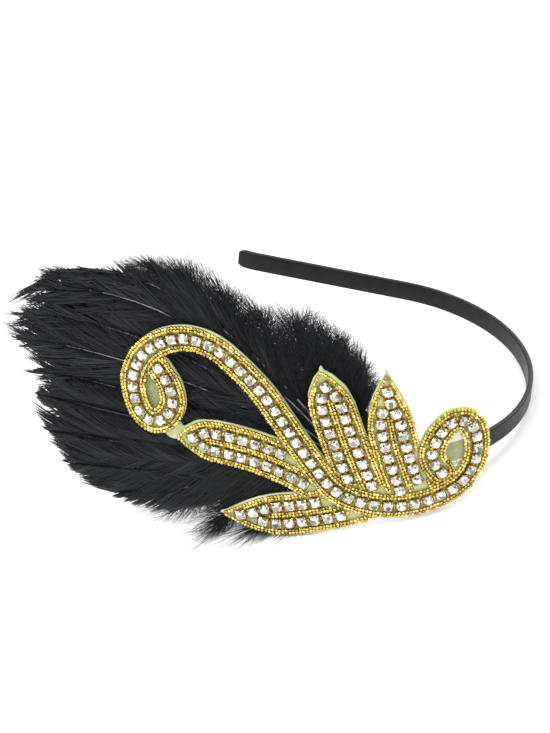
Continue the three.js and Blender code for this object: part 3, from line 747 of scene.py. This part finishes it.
# How far outside the spray's outline each point is, less than nothing inside it
def beyondOutline(points):
    a, b = outline, np.roll(outline, -1, 0)
    p = points.reshape(-1, 1, 2)
    share = np.clip(((p - a) * (b - a)).sum(2) / ((b - a) ** 2).sum(1), 0, 1)
    far = np.linalg.norm(p - a - share[..., None] * (b - a), axis=2).min(1)
    rising = (a[:, 1] > p[..., 1]) != (b[:, 1] > p[..., 1])
    slope = (b[:, 0] - a[:, 0]) / np.where(b[:, 1] == a[:, 1], 1, b[:, 1] - a[:, 1])
    crossed = rising & (p[..., 0] < a[:, 0] + slope * (p[..., 1] - a[:, 1]))
    return np.where(crossed.sum(1) % 2 == 1, -far, far).reshape(points.shape[:-1])


# A feather is a shaft with barbs down both sides, each a fine tapered strand
plume = {"reach": 125, "rise": 70, "shaftSteps": 60, "quillSteps": 15, "quillLift": 0.35, "thinness": 0.45}


def shaftLine(feather, layer):
    size = plume["reach"], plume["rise"]
    start, bow, tip = (np.array(feather[key]) * size for key in ("from", "bow", "tip"))
    share = np.linspace(0, 1, plume["shaftSteps"])
    height = layer + feather["lift"] * plume["rise"] * share**3
    return np.column_stack([bezier(start, bow, tip, plume["shaftSteps"]), height])


# Tapered strands with a flat three-sided section, from paths of strands x stations x (u, v, h)
def strandMesh(name, paths, widths, thins, tones, materials):
    look = {"taper": (1, 0.85, 0.12), "forward": 0.9}
    count, stations = paths.shape[:2]
    run = np.gradient(paths, axis=1)
    run /= np.maximum(1e-9, np.linalg.norm(run, axis=2, keepdims=True))
    aside = np.cross(run, np.array([0, 0, 1.0]))
    aside /= np.maximum(1e-9, np.linalg.norm(aside, axis=2, keepdims=True))
    face = np.cross(aside, run)
    taper = np.interp(np.linspace(0, 1, stations), [0, 0.5, 1], look["taper"])[None, :, None]
    wide = widths[:, None, None] * taper / 2
    thin = thins[:, None, None] * taper
    rings = np.stack([paths + aside * wide, paths - aside * wide, paths + face * thin], 2)
    places = onHead(rings.reshape(-1, 3))
    short = np.repeat(np.maximum(0, floorGap(places) - places[:, 2]).reshape(-1, 3).max(1), 3)
    places[:, 2] += short
    places[:, 1] -= short * look["forward"]
    base = (np.arange(count) * stations * 3)[:, None, None]
    ring = (np.arange(stations - 1) * 3)[None, :, None]
    faces = []
    for k in range(3):
        a, b = k, (k + 1) % 3
        faces.append(base + ring + np.array([a, b, b + 3]))
        faces.append(base + ring + np.array([a, b + 3, a + 3]))
    last = (stations - 1) * 3
    caps = [base[:, 0] + np.array([0, 2, 1]), base[:, 0] + last + np.array([0, 1, 2])]
    faces = np.vstack([f.reshape(-1, 3) for f in faces] + caps)
    mesh = bpy.data.meshes.new(name)
    mesh.from_pydata(places.tolist(), [], faces.tolist())
    piece = asObject(name, mesh, materials)
    data = mesh.attributes.new("tone", "FLOAT", "POINT").data
    data.foreach_set("value", np.repeat(tones, stations * 3).astype(np.float32))
    return piece


# How high a strand that would reach under the floor lies above it
def floorGap(places):
    look = {"least": 0.0003, "more": 0.0012, "rates": (2100, 1300)}
    wave = places[:, 0] * look["rates"][0] + places[:, 1] * look["rates"][1]
    return look["least"] + look["more"] * np.abs(np.sin(wave))


# The barbs of one feather as strand paths, and how wide, thick and pale each is
def growBarbs(feather, look, layer):
    line = shaftLine(feather, layer)
    steps = plume["shaftSteps"]
    length = np.linalg.norm(np.diff(line, axis=0), axis=1).sum()
    count = int(length / look["spacing"])
    share = np.repeat(np.linspace(look["bare"], 1, count), 2)
    share = np.clip(share + grain.normal(0, look["jitter"], len(share)), 0, 1)
    side = np.tile([1.0, -1.0], count)
    at = np.stack([np.interp(share * (steps - 1), np.arange(steps), line[:, k]) for k in range(3)], -1)
    run = np.gradient(line, axis=0)
    run /= np.linalg.norm(run, axis=1)[:, None]
    along = np.stack([np.interp(share * (steps - 1), np.arange(steps), run[:, k]) for k in range(3)], -1)
    aside = np.stack([-along[:, 1], along[:, 0], np.zeros(len(share))], -1) * side[:, None]
    full = np.interp(share, look["fullAt"], look["full"]) * feather["width"] * plume["rise"] / 2
    clump = np.floor(share * look["clumps"] + side * look["stagger"]).astype(int)
    clump = clump + (side > 0) * look["otherSide"]
    drawn = {c: grain.normal(0, 1, 4) for c in sorted(set(clump.tolist()))}
    shared = np.array([drawn[c] for c in clump.tolist()])
    own = grain.normal(0, 1, (len(share), 4))
    angle = np.radians(np.interp(share, look["anglesAt"], look["angles"]))
    angle = angle + shared[:, 0] * look["split"] * share + own[:, 0] * look["stray"]
    uneven = 1 + shared[:, 1] * look["uneven"] + own[:, 1] * look["uneven"] * 0.5
    size = full / np.maximum(look["leastSlant"], np.sin(angle)) * uneven
    size = np.maximum(size, look["shortest"])
    stations = look["stations"]
    s = np.linspace(0, 1, stations)[None, :, None]
    ahead = np.cos(angle)[:, None, None] * along[:, None]
    out = np.sin(angle)[:, None, None] * aside[:, None]
    curl = (look["curl"] + own[:, 2] * look["curlSpread"])[:, None, None]
    paths = at[:, None] + size[:, None, None] * (s * (ahead + out) + curl * s**2 * along[:, None])
    slack = shared[:, 3] * look["notch"] + own[:, 3] * look["wisp"] + look["past"]
    for _ in range(look["trims"]):
        gone = beyondOutline(paths[:, :, :2]) > slack[:, None]
        kept = np.where(gone.any(1), (np.argmax(gone, axis=1) - look["trimBack"]) / (stations - 1), 1.0)
        paths = at[:, None] + (paths - at[:, None]) * np.maximum(look["stub"], kept)[:, None, None]
    bend = np.sin(s[..., 0] * look["waves"] + own[:, :1] * 3) * s[..., 0] * look["wave"]
    square = np.stack([-along[:, 1], along[:, 0]], -1)[:, None]
    paths[:, :, :2] += bend[..., None] * square + 0.5 * bend[..., None] * along[:, None, :2]
    dome = np.sin(np.pi * np.minimum(1, s[..., 0] * look["archTo"]))
    paths[:, :, 2] += (look["arch"] * dome) * (size[:, None] / look["archSize"])
    paths[:, :, 2] += (own[:, 3] * look["puff"])[:, None] * s[0, :, 0][None] ** look["puffRate"]
    paths[:, :, 2] += (grain.uniform(-1, 1, len(share)) * look["shingle"])[:, None]
    middle, play, palest = look["tones"]
    tone = np.clip(middle + play * shared[:, 2] + own[:, 1] * play, 0, palest)
    wide = np.full(len(share), look["wide"]) * grain.uniform(*look["widths"], len(share))
    return (paths, wide, np.full(len(share), look["thin"]), tone), line


def shaftStrand(line, wide, pale):
    length = np.linalg.norm(np.diff(line, axis=0), axis=1).sum()
    path = resampled(line, length / plume["quillSteps"]) + np.array([0, 0, plume["quillLift"]])
    return path[None], np.array([wide]), np.array([wide * plume["thinness"]]), np.array([pale])


def spray(name, feathers, look, layer, materials):
    barbs, shafts = [], []
    for feather in feathers:
        strands, line = growBarbs(feather, look, layer)
        barbs.append(strands)
        shafts.append(shaftStrand(line, look["shaft"], feather.get("pale", look["pale"])))
    made = []
    for title, group, material in ((name, barbs, materials[0]), (name + "_quills", shafts, materials[1])):
        made.append(strandMesh(title, *(np.concatenate(part) for part in zip(*group)), [material]))
    return made


broadLook = {
    "spacing": 0.32, "bare": 0.1, "jitter": 0.002, "stations": 5,
    "wide": 0.8, "widths": (0.8, 1.2), "thin": 0.1,
    "fullAt": [0, 0.25, 0.7, 0.92, 1], "full": [0.5, 0.95, 1.05, 0.85, 0.45], "shortest": 3.0,
    "anglesAt": [0, 0.6, 1], "angles": [48, 38, 16], "leastSlant": 0.35, "stray": 0.012, "uneven": 0.05,
    "clumps": 26, "stagger": 0.37, "otherSide": 1000, "split": 0.035, "curl": 0.22, "curlSpread": 0.02,
    "arch": 0.9, "archTo": 0.9, "archSize": 12, "puff": 0.15, "puffRate": 1.3, "shingle": 0.06,
    "notch": 0.5, "wisp": 0.3, "past": 0.2, "trims": 4, "trimBack": 0.4, "stub": 0.1,
    "waves": 3.0, "wave": 0.05, "tones": (0.36, 0.16, 0.92), "shaft": 0.9, "pale": 0.5,
}
longLook = dict(
    broadLook, spacing=0.3, clumps=34, notch=3.0, wisp=1.1, past=0.4, wave=0.2,
    angles=[42, 30, 10], split=0.16, stray=0.05, uneven=0.17, curl=0.34, curlSpread=0.08,
    full=[0.4, 0.9, 1.05, 1.0, 0.7], arch=0.8, puff=0.7, wide=0.62, shaft=0.7, pale=0.95,
)
downLook = dict(
    broadLook, spacing=0.14, bare=0.12, clumps=40, notch=1.0, wisp=3.2, past=1.5, waves=7.0, wave=0.7,
    angles=[75, 55, 25], split=0.3, stray=0.28, uneven=0.28, curl=0.2, curlSpread=0.3,
    full=[0.8, 0.85, 0.85, 0.8, 0.7], arch=0.4, puff=2.6, shingle=0.9, wide=0.2, thin=0.14,
    shaft=0.4, pale=0.3, stations=6, shortest=5.0,
)
sideLook = dict(downLook, spacing=0.085)
underLook = dict(
    broadLook, spacing=0.4, wide=1.3, stations=4, split=0.01,
    full=[0.7, 1.0, 1.1, 1.0, 0.6], past=-3.0, notch=1.0,
)
layers = {"broad": -1.1, "long": -3.0, "under": -4.0, "down": -4.9}


# A feather from its quill's end through the middle of its bow to its tip, in shares of the plume's size
def blade(start, bow, tip, width, lift, pale=None):
    made = {"from": start, "bow": bow, "tip": tip, "width": width, "lift": lift}
    if pale is not None:
        made["pale"] = pale
    return made


broadFeathers = [
    blade((-0.02, 0.06), (-0.45, 0.05), (-0.93, -0.02), 0.3, 0.0),
    blade((-0.02, 0.03), (-0.43, -0.08), (-0.87, -0.18), 0.34, 0.043),
    blade((-0.02, 0), (-0.4, -0.17), (-0.78, -0.33), 0.34, 0.043),
    blade((-0.02, -0.03), (-0.36, -0.25), (-0.62, -0.42), 0.26, 0.029, 1.0),
]
longFeathers = [
    blade((-0.02, 0.16), (-0.5, 0.78), (-0.91, 0.7), 0.26, 0.029),
    blade((-0.02, 0.13), (-0.5, 0.66), (-0.97, 0.58), 0.32, 0.043, 1.0),
    blade((-0.02, 0.1), (-0.52, 0.47), (-0.99, 0.42), 0.32, 0.029),
    blade((-0.02, 0.08), (-0.5, 0.32), (-0.99, 0.28), 0.32, 0.043, 1.0),
    blade((-0.02, 0.06), (-0.5, 0.16), (-0.93, 0.12), 0.3, 0.014),
]
upperDown = [
    blade((0, 0.15), (-0.38, 0.64), (-0.6, 0.9), 0.3, 0.0),
    blade((0, 0.15), (-0.34, 0.58), (-0.48, 0.88), 0.36, 0.0),
    blade((0, 0.15), (-0.25, 0.54), (-0.37, 0.8), 0.4, -0.029),
    blade((0, 0.15), (-0.17, 0.5), (-0.26, 0.76), 0.42, -0.014),
    blade((0, 0.15), (-0.09, 0.46), (-0.15, 0.72), 0.42, -0.043),
    blade((0, 0.15), (-0.02, 0.42), (-0.04, 0.66), 0.4, -0.014),
    blade((0, 0.15), (0.01, 0.4), (0.01, 0.6), 0.36, 0.0),
    blade((0, 0.15), (0.03, 0.36), (0.045, 0.54), 0.36, -0.029),
    blade((0, 0.15), (0.04, 0.32), (0.065, 0.46), 0.34, 0.0),
    blade((0, 0.15), (-0.06, 0.44), (-0.1, 0.69), 0.42, 0.0),
    blade((0, 0.15), (0.04, 0.28), (0.06, 0.38), 0.28, 0.0),
]
lowerDown = [
    blade((-0.02, -0.03), (-0.3, -0.3), (-0.47, -0.46), 0.2, 0.0),
    blade((-0.02, -0.03), (-0.24, -0.3), (-0.33, -0.5), 0.24, 0.0),
    blade((-0.02, -0.03), (-0.15, -0.28), (-0.2, -0.48), 0.24, 0.0),
    blade((-0.02, -0.03), (-0.06, -0.24), (-0.09, -0.4), 0.2, 0.0),
]
underFeathers = [
    blade((-0.02, 0.15), (-0.46, 0.7), (-0.8, 0.68), 0.34, -0.02),
    blade((-0.02, 0.12), (-0.46, 0.56), (-0.88, 0.52), 0.34, 0.0),
    blade((-0.02, 0.1), (-0.48, 0.4), (-0.9, 0.36), 0.34, -0.02),
    blade((-0.02, 0.08), (-0.48, 0.24), (-0.9, 0.2), 0.34, 0.0),
    blade((-0.02, 0.05), (-0.46, 0.08), (-0.86, 0.04), 0.34, -0.02),
    blade((-0.02, 0.02), (-0.42, -0.06), (-0.8, -0.12), 0.34, 0.0),
    blade((-0.02, 0.0), (-0.38, -0.16), (-0.7, -0.26), 0.34, -0.02),
]


def setStage(material):
    shape = bmesh.new()
    bmesh.ops.create_grid(shape, x_segments=1, y_segments=1, size=6)
    floor = asObject("floor", fromBmesh("floor", shape), [material])
    world = bpy.data.worlds.new("studio")
    bpy.context.scene.world = world
    world.use_nodes = True
    sky = world.node_tree.nodes["Background"]
    sky.inputs["Color"].default_value = (1, 1, 1, 1)
    sky.inputs["Strength"].default_value = 0.9
    bpy.context.scene.view_settings.view_transform = "Standard"
    lamps = {
        "key": ((-0.5, -0.7, 1.3), 14, 0.5),
        "fill": ((0.9, -0.9, 0.7), 6, 0.5),
        "rim": ((0.2, 1.0, 0.9), 9, 0.6),
    }
    for name, (spot, power, size) in lamps.items():
        light = bpy.data.lights.new(name, "AREA")
        light.energy, light.size = power, size
        lamp = bpy.data.objects.new(name, light)
        lamp.location = spot
        lamp.rotation_euler = (-Vector(spot)).to_track_quat("-Z", "Y").to_euler()
        bpy.context.scene.collection.objects.link(lamp)


def setCamera():
    view = {
        "distance": 1200.0, "focal": 3250.0, "apex": (517.6, 414.7), "frame": (550, 733), "clip": (0.05, 20),
        "back": (0.2539, -0.8184, 0.5155), "right": (0.9252, 0.3609, 0.1173),
        "up": (-0.2820, 0.4471, 0.8489),
    }
    back, right, up = (np.array(view[key]) @ frameAxes for key in ("back", "right", "up"))
    middle = [(view["frame"][k] / 2 - view["apex"][k]) / view["focal"] for k in (0, 1)]
    ahead = -back + right * middle[0] - up * middle[1]
    ahead /= np.linalg.norm(ahead)
    up = up - ahead * (up @ ahead)
    up /= np.linalg.norm(up)
    right = np.cross(ahead, up)
    camera = bpy.data.cameras.new("camera")
    camera.lens = view["focal"] / max(view["frame"]) * camera.sensor_width
    camera.clip_start, camera.clip_end = view["clip"]
    eye = bpy.data.objects.new("camera", camera)
    turn = Matrix([right, up, -ahead]).transposed().to_4x4()
    eye.matrix_world = Matrix.Translation(Vector(frameZero + back * view["distance"] * mm)) @ turn
    bpy.context.scene.collection.objects.link(eye)
    bpy.context.scene.camera = eye


print("camera, light and floor")
setCamera()
setStage(floorFinish())

print("band, pad and backing")
makers = satinFinish, feltFinish, organzaFinish, goldBeadFinish, goldCupFinish, crystalFinish
satin, felt, organza, goldBeads, goldCups, crystal = (make() for make in makers)
dressed = [
    (satinBand(satin), "satin", ["headband"]),
    (feltPad(felt), "felt", ["felt_pad"]),
    (backingCloth(organza), "organza", ["ornament_backing"]),
]

print("stones")
for name, row in stoneRows.items():
    piece = stoneRow(name.replace("stones", "rhinestones"), row, crystal, goldCups)
    dressed.append((piece, "crystal", [name]))

print("beads")
pair = strung["pair"]
scrollRopes = [beside(scrollFine, side * (ropeOffset + shift)) for side in (1, -1) for shift in (pair, -pair)]
for shift in (pair, -pair):
    scrollRopes.append(endTurn(scrollLine[0], -directions(scrollLine)[0], shift))
    scrollRopes.append(endTurn(scrollLine[-1], directions(scrollLine)[-1], shift))
dressed.append((beadRope("scroll_seed_beads", scrollRopes, goldBeads), "gold_beads", ["scroll_beading"]))
stop = ropeOffset + strung["stopShare"] * chain["rope"]
for name, (root, middle, tip, opening) in leafTable.items():
    rib, half = leafRib(root, middle, tip, opening)
    shifts = [(side, shift) for side in (1, -1) for shift in (pair - strung["edgeIn"], -pair)]
    edges = [smoothLine(leafEdge(rib, half, side, -shift), 0.4) for side, shift in shifts]
    vein = rib[int(np.argmax(half > ropeOffset + chain["rope"])):]
    veins = [beside(vein, side * strung["veinShare"] * pair) for side in (1, -1)]
    dressed.append((beadRope(name + "_edge_beads", edges, goldBeads, stop), "gold_beads", [name + "_edging"]))
    dressed.append((beadRope(name + "_vein_beads", veins, goldBeads, stop), "gold_beads", [name + "_vein"]))

print("feathers")
glossy = featherFinish("goose_vane", (0.0015, 0.0017, 0.0022), (0.008, 0.0087, 0.0105), 0.3, 0.02)
coque = featherFinish("coque_vane", (0.0015, 0.0017, 0.0024), (0.014, 0.0148, 0.018), 0.4, 0.03)
down = featherFinish("marabou_down", (0.002, 0.0022, 0.003), (0.016, 0.0168, 0.02), 0.75, 0.06)
quill = featherFinish("feather_shaft", (0.01, 0.01, 0.012), (0.1, 0.1, 0.11), 0.32, 0.0)
for name, table, look, layer, finish, node in (
    ("goose_feathers", broadFeathers, broadLook, layers["broad"], glossy, "broad_feathers"),
    ("coque_feathers", longFeathers, longLook, layers["long"], coque, "long_feathers"),
    ("coque_underlay", underFeathers, underLook, layers["under"], coque, "long_feathers"),
    ("marabou_top", upperDown[:5], downLook, layers["down"], down, "upper_down"),
    ("marabou_side", upperDown[5:], sideLook, layers["down"], down, "upper_down"),
    ("marabou_foot", lowerDown, downLook, layers["down"], down, "lower_down"),
):
    for piece in spray(name, table, look, layer, [finish, quill]):
        dressed.append((piece, "feather", [node]))

print("riding")
for piece, slot, nodes in dressed:
    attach(piece, "root")
    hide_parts(*nodes)
